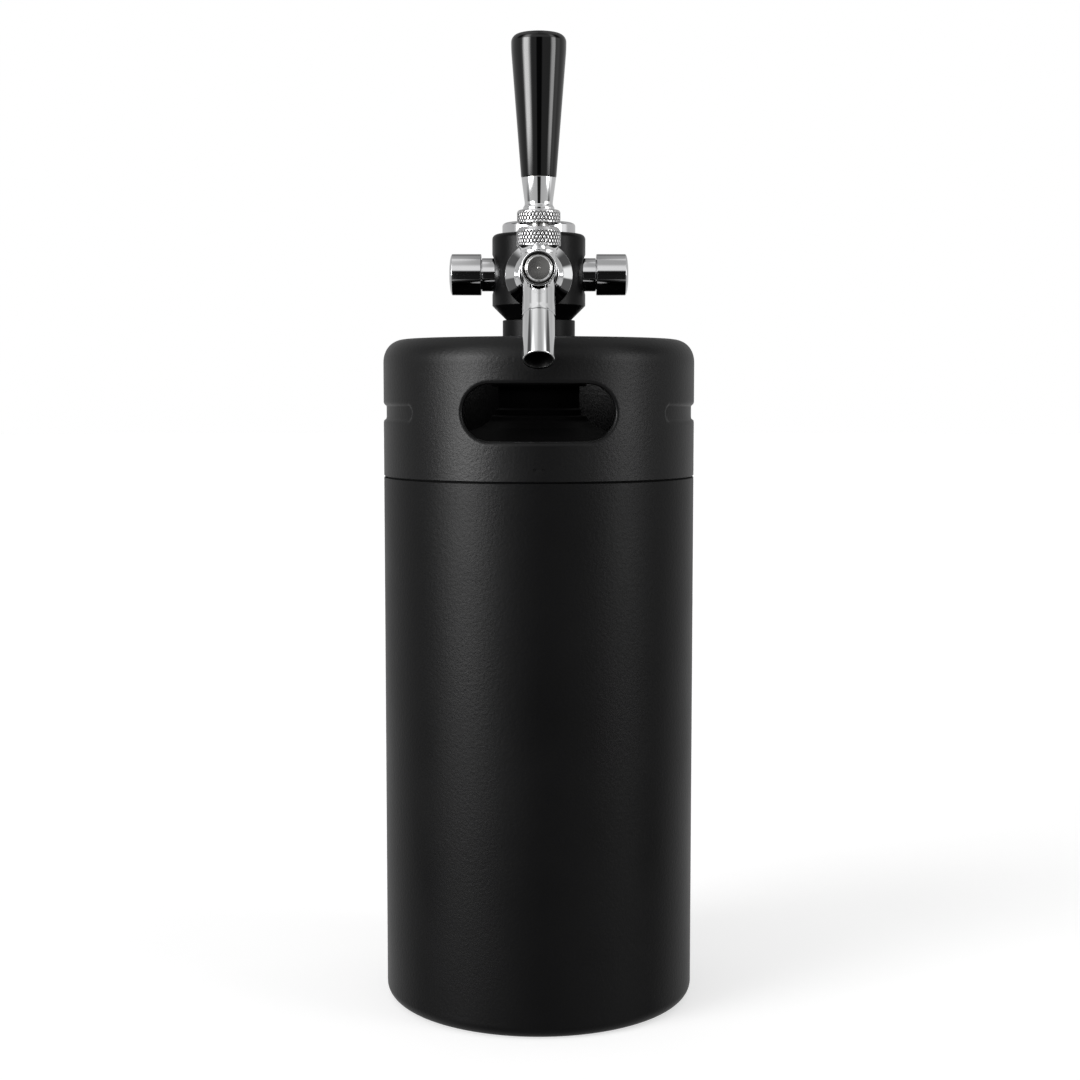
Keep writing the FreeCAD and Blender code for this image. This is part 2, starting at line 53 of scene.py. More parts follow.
def new_mat(name):
    m = bpy.data.materials.new(name)
    m.use_nodes = True
    nt = m.node_tree
    for n in list(nt.nodes):
        nt.nodes.remove(n)
    out = nt.nodes.new("ShaderNodeOutputMaterial")
    b = nt.nodes.new("ShaderNodeBsdfPrincipled")
    nt.links.new(b.outputs["BSDF"], out.inputs["Surface"])
    return m, nt, b


def object_coords(nt, stretch=(1, 1, 1)):
    tc = nt.nodes.new("ShaderNodeTexCoord")
    mp = nt.nodes.new("ShaderNodeMapping")
    mp.inputs["Scale"].default_value = stretch
    nt.links.new(tc.outputs["Object"], mp.inputs["Vector"])
    return mp.outputs["Vector"]


def noise(nt, vec, scale, detail=2.0, rough=0.5):
    n = nt.nodes.new("ShaderNodeTexNoise")
    n.inputs["Scale"].default_value = scale
    n.inputs["Detail"].default_value = detail
    n.inputs["Roughness"].default_value = rough
    nt.links.new(vec, n.inputs["Vector"])
    return n.outputs["Fac"]


def spread(nt, val, lo, hi, a=0.3, b=0.7):
    r = nt.nodes.new("ShaderNodeMapRange")
    r.inputs["From Min"].default_value = a
    r.inputs["From Max"].default_value = b
    r.inputs["To Min"].default_value = lo
    r.inputs["To Max"].default_value = hi
    nt.links.new(val, r.inputs["Value"])
    return r.outputs["Result"]


def ramp(nt, val, stops):
    r = nt.nodes.new("ShaderNodeValToRGB")
    el = r.color_ramp.elements
    while len(el) < len(stops):
        el.new(0.5)
    for e, (p, c) in zip(el, stops):
        e.position = p
        e.color = (c[0], c[1], c[2], 1.0)
    nt.links.new(val, r.inputs["Fac"])
    return r.outputs["Color"]


def bump(nt, bsdf, val, strength, distance, chain=None):
    b = nt.nodes.new("ShaderNodeBump")
    b.inputs["Strength"].default_value = strength
    b.inputs["Distance"].default_value = distance
    nt.links.new(val, b.inputs["Height"])
    if chain:
        nt.links.new(chain, b.inputs["Normal"])
    nt.links.new(b.outputs["Normal"], bsdf.inputs["Normal"])
    return b.outputs["Normal"]


def powder_coat(name, tone, r_lo, r_hi, grain=1500.0, strength=0.3, spec=0.5):
    """Matt powder coat: fine orange-peel grain, faint cloudy colour and sheen."""
    m, nt, b = new_mat(name)
    v = object_coords(nt)
    fine = noise(nt, v, grain, 2.0, 0.55)
    peel = noise(nt, v, grain * 0.33, 2.0, 0.6)
    cloud = noise(nt, v, 16.0, 3.0, 0.6)
    col = ramp(nt, cloud, [(0.3, [c * 0.88 for c in tone]), (0.7, [c * 1.12 for c in tone])])
    nt.links.new(col, b.inputs["Base Color"])
    nt.links.new(spread(nt, cloud, r_lo, r_hi), b.inputs["Roughness"])
    n1 = bump(nt, b, peel, strength, 0.00018)
    bump(nt, b, fine, strength, 0.00006, n1)
    b.inputs["Specular IOR Level"].default_value = spec
    return m


def metal(name, tone, r_lo, r_hi, stretch=(1, 1, 1), scratch=0.05, grain=900.0):
    """Metal with a faint polishing pattern in roughness and bump."""
    m, nt, b = new_mat(name)
    v = object_coords(nt, stretch)
    fine = noise(nt, v, grain, 3.0, 0.6)
    smear = noise(nt, object_coords(nt), 60.0, 2.0, 0.5)
    col = ramp(nt, smear, [(0.3, [c * 0.96 for c in tone]), (0.7, tone)])
    nt.links.new(col, b.inputs["Base Color"])
    b.inputs["Metallic"].default_value = 1.0
    nt.links.new(spread(nt, smear, r_lo, r_hi), b.inputs["Roughness"])
    if scratch:
        bump(nt, b, fine, scratch, 0.00001)
    return m


def rubber(name, tone, rough=0.6):
    m, nt, b = new_mat(name)
    v = object_coords(nt)
    n = noise(nt, v, 1200.0, 2.0)
    col = ramp(nt, n, [(0.3, [c * 0.8 for c in tone]), (0.7, [c * 1.2 for c in tone])])
    nt.links.new(col, b.inputs["Base Color"])
    nt.links.new(spread(nt, n, rough - 0.06, rough + 0.06), b.inputs["Roughness"])
    bump(nt, b, n, 0.15, 0.00003)
    b.inputs["Specular IOR Level"].default_value = 0.12
    return m


def gloss_plastic(name, tone):
    """Deep gloss moulding: faint long-wave ripple, hairline polishing marks in the coat."""
    m, nt, b = new_mat(name)
    v = object_coords(nt)
    wave = noise(nt, v, 45.0, 1.0)
    col = ramp(nt, wave, [(0.3, [c * 0.8 for c in tone]), (0.7, [c * 1.15 for c in tone])])
    nt.links.new(col, b.inputs["Base Color"])
    nt.links.new(spread(nt, noise(nt, v, 300.0, 3.0), 0.05, 0.085), b.inputs["Roughness"])
    bump(nt, b, wave, 0.03, 0.0002)
    b.inputs["Specular IOR Level"].default_value = 0.36
    b.inputs["Coat Weight"].default_value = 0.15
    b.inputs["Coat Roughness"].default_value = 0.03
    return m


M = {
    "keg_black": powder_coat("keg_powder_coat", (0.003, 0.003, 0.0032), 0.37, 0.43, 1900.0, 0.55, spec=0.135),
    "collar_black": powder_coat("collar_powder_coat", (0.003, 0.003, 0.0032), 0.35, 0.41, 1900.0, 0.55, spec=0.22),
    "head_black": powder_coat("head_satin_black", (0.002, 0.002, 0.0021), 0.30, 0.38, 2200.0, 0.12, spec=0.12),
    "lock_black": powder_coat("lock_satin_black", (0.0025, 0.0025, 0.0026), 0.36, 0.44, 2200.0, 0.12, spec=0.10),
    # darker, duller copy of the keg's powder coat for the collar well and the spot pits: painted shade
    "painted_shade_black": powder_coat("inner_powder_coat_painted_shade", (0.0022, 0.0022, 0.0023), 0.55, 0.62, spec=0.04),
    "chrome": metal("polished_chrome", (0.88, 0.885, 0.89), 0.035, 0.07, scratch=0.02),
    "cap_chrome": metal("satin_edge_chrome", (0.80, 0.80, 0.81), 0.06, 0.11, scratch=0.04),
    "knurl": metal("knurled_steel", (0.74, 0.74, 0.745), 0.08, 0.12, scratch=0.03),
    "steel": metal("plain_stainless", (0.62, 0.615, 0.60), 0.18, 0.30, stretch=(1, 1, 8), scratch=0.15),
    # steel darkened in its base colour for the plug face: painted dark reflection
    "steel_painted_dark_reflection": metal("plug_face_painted_reflection", (0.10, 0.10, 0.103), 0.30, 0.38, scratch=0.05),
    # near-black metal for the knurl's deep faces: painted shade in the grooves
    "groove": metal("knurl_groove_painted_shade", (0.012, 0.012, 0.012), 0.40, 0.50, scratch=0.05),
    # dark metal for a liner inside the spout: painted shade in the bore
    "bore": metal("bore_painted_shade", (0.05, 0.05, 0.05), 0.35, 0.45, scratch=0.1),
    "brass": metal("turned_brass", (0.78, 0.60, 0.30), 0.18, 0.28, stretch=(1, 1, 10), scratch=0.15),
    "rubber": rubber("seal_rubber", (0.005, 0.005, 0.005)),
    "nylon": rubber("natural_nylon", (0.72, 0.71, 0.66), 0.45),
    "gloss": gloss_plastic("gloss_black_moulding", (0.0015, 0.0015, 0.0016)),
}

SLOT_MAT = {
    "keg_black": "keg_black", "stainless": "steel", "head_black": "head_black", "chrome": "chrome",
    "seal_rubber": "rubber", "nylon": "nylon", "handle_black": "gloss", "brass": "brass",
}
slot_of = {s["node"]: s["material_slot"] for s in frame["record"]["subparts"]}
for node_name, node in frame["nodes"].items():
    want = M[SLOT_MAT.get(slot_of[node_name], "chrome")]
    if not node.material_slots:
        continue
    for ms in node.material_slots:
        # the keg neck down in the collar well takes the darker copy of the coat: painted shade
        ms.material = M["painted_shade_black"] if node_name == "keg_neck" else want

# ---------------------------------------------------------------------------
# Mesh helpers. Profiles are in millimetres.
# ---------------------------------------------------------------------------


def place(axis="z", at=(0, 0, 0), lean=0.0):
    """Matrix, in mm, that turns local +Z to an axis and puts its origin at a point."""
    turn = {"z": (0, "X"), "-y": (90, "X"), "+x": (90, "Y"), "-x": (-90, "Y"), "lean": (180 - lean, "X")}[axis]
    return Matrix.Translation(Vector(at)) @ Matrix.Rotation(math.radians(turn[0]), 4, turn[1])


def rounded(pts, steps=6):
    """Corner list of (r, z) or (r, z, fillet) to a smooth profile. Open list: the ends stay as they are."""
    out = []
    n = len(pts)
    for i, p in enumerate(pts):
        f = p[2] if len(p) > 2 else 0.0
        if f <= 0 or i == 0 or i == n - 1:
            out.append((p[0], p[1]))
            continue
        a, b, c = np.array(pts[i - 1][:2], float), np.array(p[:2], float), np.array(pts[i + 1][:2], float)
        u, w = a - b, c - b
        lu, lw = np.linalg.norm(u), np.linalg.norm(w)
        u, w = u / lu, w / lw
        ang = math.acos(max(-1, min(1, float(u @ w))))
        t = f / math.tan(ang / 2)
        t = min(t, lu * 0.499, lw * 0.499)
        r = t * math.tan(ang / 2)
        mid = (u + w) / np.linalg.norm(u + w)
        centre = b + mid * (r / math.sin(ang / 2))
        s, e = b + u * t - centre, b + w * t - centre
        a0, a1 = math.atan2(s[1], s[0]), math.atan2(e[1], e[0])
        d = (a1 - a0 + math.pi) % (2 * math.pi) - math.pi
        k = max(2, int(steps * max(1.0, abs(d) / 1.2)))
        for j in range(k + 1):
            q = a0 + d * j / k
            out.append((centre[0] + r * math.cos(q), centre[1] + r * math.sin(q)))
    return out


def finish_mesh(name, verts, faces, mat, body, replaces=(), mtx=None, sharp=32.0, weld=True):
    v = np.asarray(verts, float)
    if mtx is not None:
        m = np.array(mtx)
        v = v @ m[:3, :3].T + m[:3, 3]
    me = bpy.data.meshes.new(name)
    me.from_pydata((v * MM).tolist(), [], faces)
    bm = bmesh.new()
    bm.from_mesh(me)
    if weld:
        bmesh.ops.remove_doubles(bm, verts=bm.verts, dist=2e-7)
    bmesh.ops.recalc_face_normals(bm, faces=bm.faces)
    bm.to_mesh(me)
    bm.free()
    me.shade_smooth()
    me.set_sharp_from_angle(angle=math.radians(sharp))
    o = bpy.data.objects.new(name, me)
    bpy.context.scene.collection.objects.link(o)
    me.materials.append(mat)
    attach(o, body)
    if replaces:
        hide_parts(*replaces)
    return o


def lathe_data(profile, segs=160, closed=True):
    verts, rings = [], []
    for r, z in profile:
        if abs(r) < 1e-6:
            rings.append([len(verts)])
            verts.append((0, 0, z))
        else:
            rings.append(list(range(len(verts), len(verts) + segs)))
            for i in range(segs):
                a = 2 * math.pi * i / segs
                verts.append((r * math.cos(a), r * math.sin(a), z))
    faces = []
    n = len(rings)
    for k in range(n if closed else n - 1):
        a, b = rings[k], rings[(k + 1) % n]
        if len(a) == 1 and len(b) == 1:
            continue
        for i in range(segs):
            j = (i + 1) % segs
            if len(a) == 1:
                faces.append((a[0], b[i], b[j]))
            elif len(b) == 1:
                faces.append((a[i], b[0], a[j]))
            else:
                faces.append((a[i], b[i], b[j], a[j]))
    return verts, faces


def lathe(name, pts, mat, body, replaces=(), mtx=None, segs=160, steps=6, closed=True, sharp=32.0):
    prof = rounded(list(pts) + [pts[0]], steps)[:-1] if closed and pts[0][0] > 1e-6 else rounded(pts, steps)
    verts, faces = lathe_data(prof, segs, closed and pts[0][0] > 1e-6)
    return finish_mesh(name, verts, faces, mat, body, replaces, mtx, sharp)


TAP_Z, SIDE_Z, TAP_Y, DROP = 373.4, 375.2, -61.0, -0.85
UPM = place()
FRONT = place("-y", (0, 0, TAP_Z))
LEFT, RIGHT = place("-x", (0, 0, SIDE_Z)), place("+x", (0, 0, SIDE_Z))
PIV = place("z", (0, TAP_Y, DROP))
SPOUT = place("lean", (0, -81.3, 350.4), 34.0)

# ---------------------------------------------------------------------------
# Keg.
# ---------------------------------------------------------------------------
lathe("keg_shell", [
    (60.0, 4.0), (60.0, 3.0), (64.0, 3.0, 1.2), (67.0, 0.0, 1.0), (80.0, 0.0, 11.0), (80.0, 271.65, 0.35), (79.0, 271.65, 0.2),
    (79.0, 1.0, 10.0), (67.4, 1.0), (64.4, 4.0)], M["keg_black"], "keg", ("outer_shell",), segs=288, steps=12)
lathe("foot_disc", [
    (0, 4.0), (20, 4.0, 3.0), (22.5, 4.5, 1.0), (52, 4.5, 1.0), (54, 4.0, 1.0), (61.5, 4.0, 0.3), (61.5, 5.0), (0, 5.0)],
    M["keg_black"], "keg", ("base_disc",), segs=192)
# the dome under the collar takes the darker copy of the coat: painted shade inside the well
lathe("keg_top", [
    (77.7, 264.2), (78.7, 264.2, 0.3), (78.7, 275.2, 5.0), (75.2, 281.2, 6.0), (60.0, 288.0, 20.0), (31.0, 296.6, 8.0), (25.6, 300.2, 3.0), (24.6, 303.1, 1.0), (22.06, 303.2),
    (22.06, 302.2), (24.2, 301.6), (25.0, 298.6), (30.5, 295.4), (59.7, 287.0), (74.6, 280.2), (77.7, 275.0)],
    M["painted_shade_black"], "keg", ("shell_top",), segs=224)


def collar():
    """Grip collar: turned skin with a rolled top edge, a flanged stadium slot and two pressed side grooves."""
    R, T = 80.0, 1.2
    zc, R0, half_run = 305.4, 13.7, 23.0
    xb, za, zb = 44.0, 283.0, 327.5
    z_low, z_high = 272.4, 330.0
    n_col = 96
    xs = [math.degrees(math.asin(xb / R)) * (2 * i / n_col - 1) for i in range(n_col + 1)]
    th_in = [math.radians(a) for a in xs]
    n_row = 48
    zs_in = [za + (zb - za) * i / n_row for i in range(n_row + 1)]
    rest = []
    t0, t1 = th_in[-1], 2 * math.pi + th_in[0]
    n_rest = 560
    for i in range(1, n_rest):
        rest.append(t0 + (t1 - t0) * i / n_rest)
    thetas = th_in + rest
    zs = [z_low, z_low + 0.35, 273.5, 275.5] + [275.5 + (za - 275.5) * i / 14 for i in range(1, 14)] + zs_in + [zb + (z_high - zb) * i / 3 for i in (1, 2, 3)]
    g_z, g_half, g_deep = 304.9, 4.65, 1.5
    g0, g1 = math.radians(50.8), math.radians(129.2)

    def groove(theta, z):
        t = abs((theta + math.pi) % (2 * math.pi) - math.pi)
        s = (abs(t - (g0 + g1) / 2) - (g1 - g0) / 2 + g_half / R) * R
        d = math.hypot(max(s, 0.0), z - g_z) - g_half if s > 0 else abs(z - g_z) - g_half
        k = max(0.0, min(1.0, -d / 1.7))
        return g_deep * (k * k * (3 - 2 * k))

    def dimple(theta, z):
        if abs(theta) > 0.1 or abs(z - 278.4) > 2:
            return 0.0
        x = R * math.sin(theta)
        out = 0.0
        for cx in (-1.05, 1.05):
            d2 = (x - cx) ** 2 + (z - 278.4) ** 2
            out += 0.35 * math.exp(-d2 / 0.16)
        return out

    verts, faces = [], []

    def pt(theta, z, r):
        verts.append((r * math.sin(theta), -r * math.cos(theta), z))
        return len(verts) - 1

    def wall(base_r, bottom_in):
        grid = {}
        for zi, z in enumerate(zs):
            for ti, th in enumerate(thetas):
                inside = ti <= n_col and za + 1e-6 < z < zb - 1e-6 and 0 < ti < n_col
                if inside:
                    continue
                r = base_r - groove(th, z) - (dimple(th, z) if base_r == R else 0.0)
                if zi == 0:
                    r -= bottom_in
                grid[(zi, ti)] = pt(th, z, r)
        nt_ = len(thetas)
        for zi in range(len(zs) - 1):
            for ti in range(nt_):
                tj = (ti + 1) % nt_
                q = [(zi, ti), (zi, tj), (zi + 1, tj), (zi + 1, ti)]
                if ti < n_col and za - 1e-6 <= zs[zi] and zs[zi + 1] <= zb + 1e-6:
                    continue
                faces.append([grid[k] for k in q])
        return grid

    go = wall(R, 0.35)
    gi = wall(R - T, 0.0)
    zi_a, zi_b = zs.index(zs_in[0]), zs.index(zs_in[-1])
    loop = [(zi_a, t) for t in range(n_col + 1)] + [(z, n_col) for z in range(zi_a + 1, zi_b + 1)] \
        + [(zi_b, t) for t in range(n_col - 1, -1, -1)] + [(z, 0) for z in range(zi_b - 1, zi_a, -1)]
    n = len(loop)
    dirs = []
    for zi, ti in loop:
        x, z = R * math.sin(thetas[ti]), zs[zi]
        cx = max(-half_run, min(half_run, x))
        d = np.array([x - cx, z - zc])
        dirs.append((cx, d / np.linalg.norm(d), x, z))

    def ring(offset, depth, blend=0.0):
        ids = []
        for cx, d, bx, bz in dirs:
            x, z = cx + (R0 + offset) * d[0], zc + (R0 + offset) * d[1]
            x, z = x + (bx - x) * blend, z + (bz - z) * blend
            r = R - depth
            verts.append((x, -math.sqrt(max(r * r - x * x, 1.0)), z))
            ids.append(len(verts) - 1)
        return ids

    rings = [[go[k] for k in loop]]
    for b in (0.82, 0.64, 0.46, 0.3, 0.16, 0.06):
        rings.append(ring(2.1, 0.0, b))
    lip_r = 2.1
    for k in range(0, 11):
        a = math.pi / 2 * k / 10
        rings.append(ring(lip_r * (1 - math.sin(a)), lip_r * (1 - math.cos(a))))
    rings.append(ring(0.0, 3.4))
    for k in range(0, 9):
        a = math.pi * k / 8
        rings.append(ring(0.55 - 0.55 * math.cos(a), 4.6 + 0.55 * math.sin(a)))
    rings.append(ring(1.1, 3.4))
    for k in range(0, 6):
        a = math.pi / 2 * (1 - k / 5)
        rings.append(ring(1.1 + 1.4 * (1 - math.sin(a)), T + 1.4 * (1 - math.cos(a))))
    for b in (0.06, 0.16, 0.3, 0.5, 0.75):
        rings.append(ring(2.5, T, b))
    rings.append([gi[k] for k in loop])
    for a, b in zip(rings[:-1], rings[1:]):
        for i in range(n):
            j = (i + 1) % n
            faces.append([a[i], a[j], b[j], b[i]])
    # rolled top edge and bottom edge
    outer = rounded([(80.0, 330.0), (80.0, 342.0, 0.0), (68.5, 342.0)], 4)
    prof = []
    for k in range(1, 17):
        a = math.pi / 2 * k / 16
        prof.append((68.5 + 11.5 * math.cos(a) ** 0.92, 330.0 + 12.0 * math.sin(a) ** 0.92))
    for k in range(1, 13):
        a = math.radians(90 + 100 * k / 12)
        prof.append((68.5 + 5.3 * math.cos(a), 337.4 + 4.6 * math.sin(a)))
    last = prof[-1]
    for k in range(1, 6):
        a = math.pi * k / 5
        prof.append((last[0] + 0.6 - 0.6 * math.cos(a), last[1] - 0.6 * math.sin(a)))
    for k in range(11, -1, -1):
        a = math.radians(90 + 100 * k / 12)
        prof.append((68.5 + 4.1 * math.cos(a), 337.4 + 3.4 * math.sin(a)))
    for k in range(15, 0, -1):
        a = math.pi / 2 * k / 16
        prof.append((68.5 + 10.3 * math.cos(a) ** 0.92, 330.0 + 10.8 * math.sin(a) ** 0.92))
    nt_ = len(thetas)
    prev = [go[(len(zs) - 1, t)] for t in range(nt_)]
    for r, z in prof:
        cur = [pt(th, z, r) for th in thetas]
        for i in range(nt_):
            j = (i + 1) % nt_
            faces.append([prev[i], prev[j], cur[j], cur[i]])
        prev = cur
    top_in = [gi[(len(zs) - 1, t)] for t in range(nt_)]
    for i in range(nt_):
        j = (i + 1) % nt_
        faces.append([prev[i], prev[j], top_in[j], top_in[i]])
        faces.append([go[(0, i)], go[(0, j)], gi[(0, j)], gi[(0, i)]])
    return finish_mesh("grip_collar_skin", verts, faces, M["collar_black"], "keg", ("grip_collar",), sharp=40.0)


collar()
for k, x in enumerate((-2.1, 2.1)):
    # two small spot-weld pits under the slot, in the darker copy of the coat: painted shade in the pits
    lathe("spot_pit_%d" % k, [(0, 79.4), (0.62, 79.4), (0.62, 80.02, 0.05), (0.40, 80.0), (0.22, 79.9), (0, 79.86)], M["painted_shade_black"], "keg",
          mtx=place("-y", (x, 0, 278.4)), segs=24, closed=False)

# ---------------------------------------------------------------------------
# Tap head.
# ---------------------------------------------------------------------------


def cutter(name, pts, mtx, segs=128):
    verts, faces = lathe_data(rounded(pts, 5), segs, False)
    v = np.asarray(verts) @ np.array(mtx)[:3, :3].T + np.array(mtx)[:3, 3]
    me = bpy.data.meshes.new(name)
    me.from_pydata((v * MM).tolist(), [], faces)
    bm = bmesh.new()
    bm.from_mesh(me)
    bmesh.ops.remove_doubles(bm, verts=bm.verts, dist=2e-7)
    bmesh.ops.recalc_face_normals(bm, faces=bm.faces)
    bm.to_mesh(me)
    bm.free()
    o = bpy.data.objects.new(name, me)
    bpy.context.scene.collection.objects.link(o)
    return o


def carve(obj, tools, bevel=0.35, sharp=32.0):
    """Cuts the tools from obj with exact booleans and breaks the new edges."""
    for t in tools:
        md = obj.modifiers.new("cut", "BOOLEAN")
        md.operation = "DIFFERENCE"
        md.solver = "EXACT"
        md.object = t
    if bevel:
        bv = obj.modifiers.new("edge", "BEVEL")
        bv.width = bevel * MM
        bv.segments = 3
        bv.limit_method = "ANGLE"
        bv.angle_limit = math.radians(38)
        bv.harden_normals = False
    dg = bpy.context.evaluated_depsgraph_get()
    me = bpy.data.meshes.new_from_object(obj.evaluated_get(dg))
    old = obj.data
    obj.modifiers.clear()
    obj.data = me
    me.shade_smooth()
    me.set_sharp_from_angle(angle=math.radians(sharp))
    bpy.data.meshes.remove(old)
    for t in tools:
        bpy.data.objects.remove(t)


head = lathe("tap_head_block", [
    (0, 352.2), (16.8, 352.2, 0.8), (23.9, 359.3, 0.8), (23.9, 395.6, 2.9), (18.9, 395.6), (18.9, 394.9), (0, 394.9)],
    M["head_black"], "tap_head", ("head_body",), segs=224, steps=8)
carve(head, [
    cutter("spot_l", [(0, 22.3), (10.25, 22.3, 0.5), (10.25, 34.0), (0, 34.0)], LEFT),
    cutter("spot_r", [(0, 22.3), (10.25, 22.3, 0.5), (10.25, 34.0), (0, 34.0)], RIGHT),
    cutter("bore_low", [(0, 351.0), (10.6, 351.0), (10.6, 361.4), (0, 361.4)], UPM)], bevel=0.4)

lathe("head_top_cap", [
    (0, 395.6), (18.7, 395.6, 0.35), (18.7, 401.4, 1.7), (13.2, 401.4, 0.5), (12.6, 400.7, 0.3), (0, 400.7)],
    M["cap_chrome"], "tap_head", ("top_plug",), segs=192)


def ribbed_ring():
    """Lock ring: smooth neck above, a flange with milled finger ribs below, inside the collar well."""
    prof = rounded([(21.06, 318.0), (24.0, 318.0, 0.4), (24.6, 319.0, 0.5), (24.6, 338.2, 0.8), (23.0, 340.4, 1.2), (19.0, 341.2, 0.8), (18.6, 342.2, 0.5), (18.6, 351.9, 0.4), (13.06, 351.9),
                    (13.06, 339.1), (21.06, 339.1)], 4)
    dense = []
    for a, b in zip(prof, prof[1:] + prof[:1]):
        dense.append(a)
        if abs(b[1] - a[1]) > 8 and a[0] > 24:
            for k in (1, 2, 3, 4, 5, 6, 7):
                dense.append((a[0], a[1] + (b[1] - a[1]) * (k / 8.0)))
    segs = 480
    verts, faces = lathe_data(dense, segs, True)
    v = np.array(verts)
    rad = np.hypot(v[:, 0], v[:, 1])
    ang = np.arctan2(v[:, 1], v[:, 0])
    on = (rad > 24.3) & (v[:, 2] > 320.4) & (v[:, 2] < 337.6)
    ridge = 0.5 + 0.5 * np.cos(ang * 40)
    scale = np.where(on, (rad - 0.9 * (1 - ridge ** 0.6)) / rad, 1.0)
    v[:, 0] *= scale
    v[:, 1] *= scale
    return finish_mesh("lock_ring_body", v, faces, M["lock_black"], "lock", ("lock_ring",), sharp=40.0)


ribbed_ring()

# side ports
STEM = [(6.0, 12.0), (6.0, 22.3), (8.5, 22.3, 0.3), (8.5, 29.2, 0.35), (7.5, 29.2), (7.5, 33.0), (4.0, 33.0), (4.0, 12.0)]
lathe("inlet_stem_body", [(6.0, 12.0), (6.0, 22.31), (8.5, 22.31, 0.3), (8.5, 29.2, 0.35), (7.5, 29.2), (7.5, 42.9, 0.4), (2.0, 42.9), (2.0, 40.0), (4.3, 40.0), (4.3, 12.0)],
      M["cap_chrome"], "tap_head", ("gas_inlet_stem",), mtx=LEFT, segs=128)
lathe("relief_stem_body", [(6.0, 12.0), (6.0, 22.31), (8.5, 22.31, 0.3), (8.5, 29.2, 0.35), (7.5, 29.2), (7.5, 32.9), (2.1, 32.9), (2.1, 30.0), (5.1, 30.0), (5.1, 12.0)],
      M["cap_chrome"], "tap_head", ("relief_stem",), mtx=RIGHT, segs=128)
SIDE_CAP = [(7.8, 29.5), (10.3, 29.5, 0.15), (10.55, 29.8, 0.2), (10.55, 44.45, 0.3), (9.9, 44.95, 0.2), (8.2, 45.42, 3.0), (5.0, 45.82, 6.0), (0, 46.0)]
lathe("inlet_cap_body", [(0, 44.05), (7.8, 44.05)] + SIDE_CAP, M["cap_chrome"], "inlet_cap", ("gas_inlet_cap",), mtx=LEFT, segs=160, closed=False)
lathe("relief_knob_body", [(0, 44.06), (1.65, 44.06), (1.65, 40.0), (7.8, 40.0)] + SIDE_CAP, M["cap_chrome"], "relief", ("relief_knob",), mtx=RIGHT, segs=160, closed=False)

# ---------------------------------------------------------------------------
# Faucet.
# ---------------------------------------------------------------------------
lathe("coupling_dish", [
    (8.1, 24.2), (16.9, 24.2, 0.25), (16.9, 25.6, 0.3), (12.0, 30.2, 3.5), (10.3, 36.0, 5.0), (9.9, 40.0, 0.4), (8.45, 40.0), (8.45, 38.1), (9.6, 38.1), (9.6, 34.7), (8.1, 34.7)],
    M["chrome"], "tap_head", ("coupling_flange",), mtx=FRONT, segs=192, steps=8)


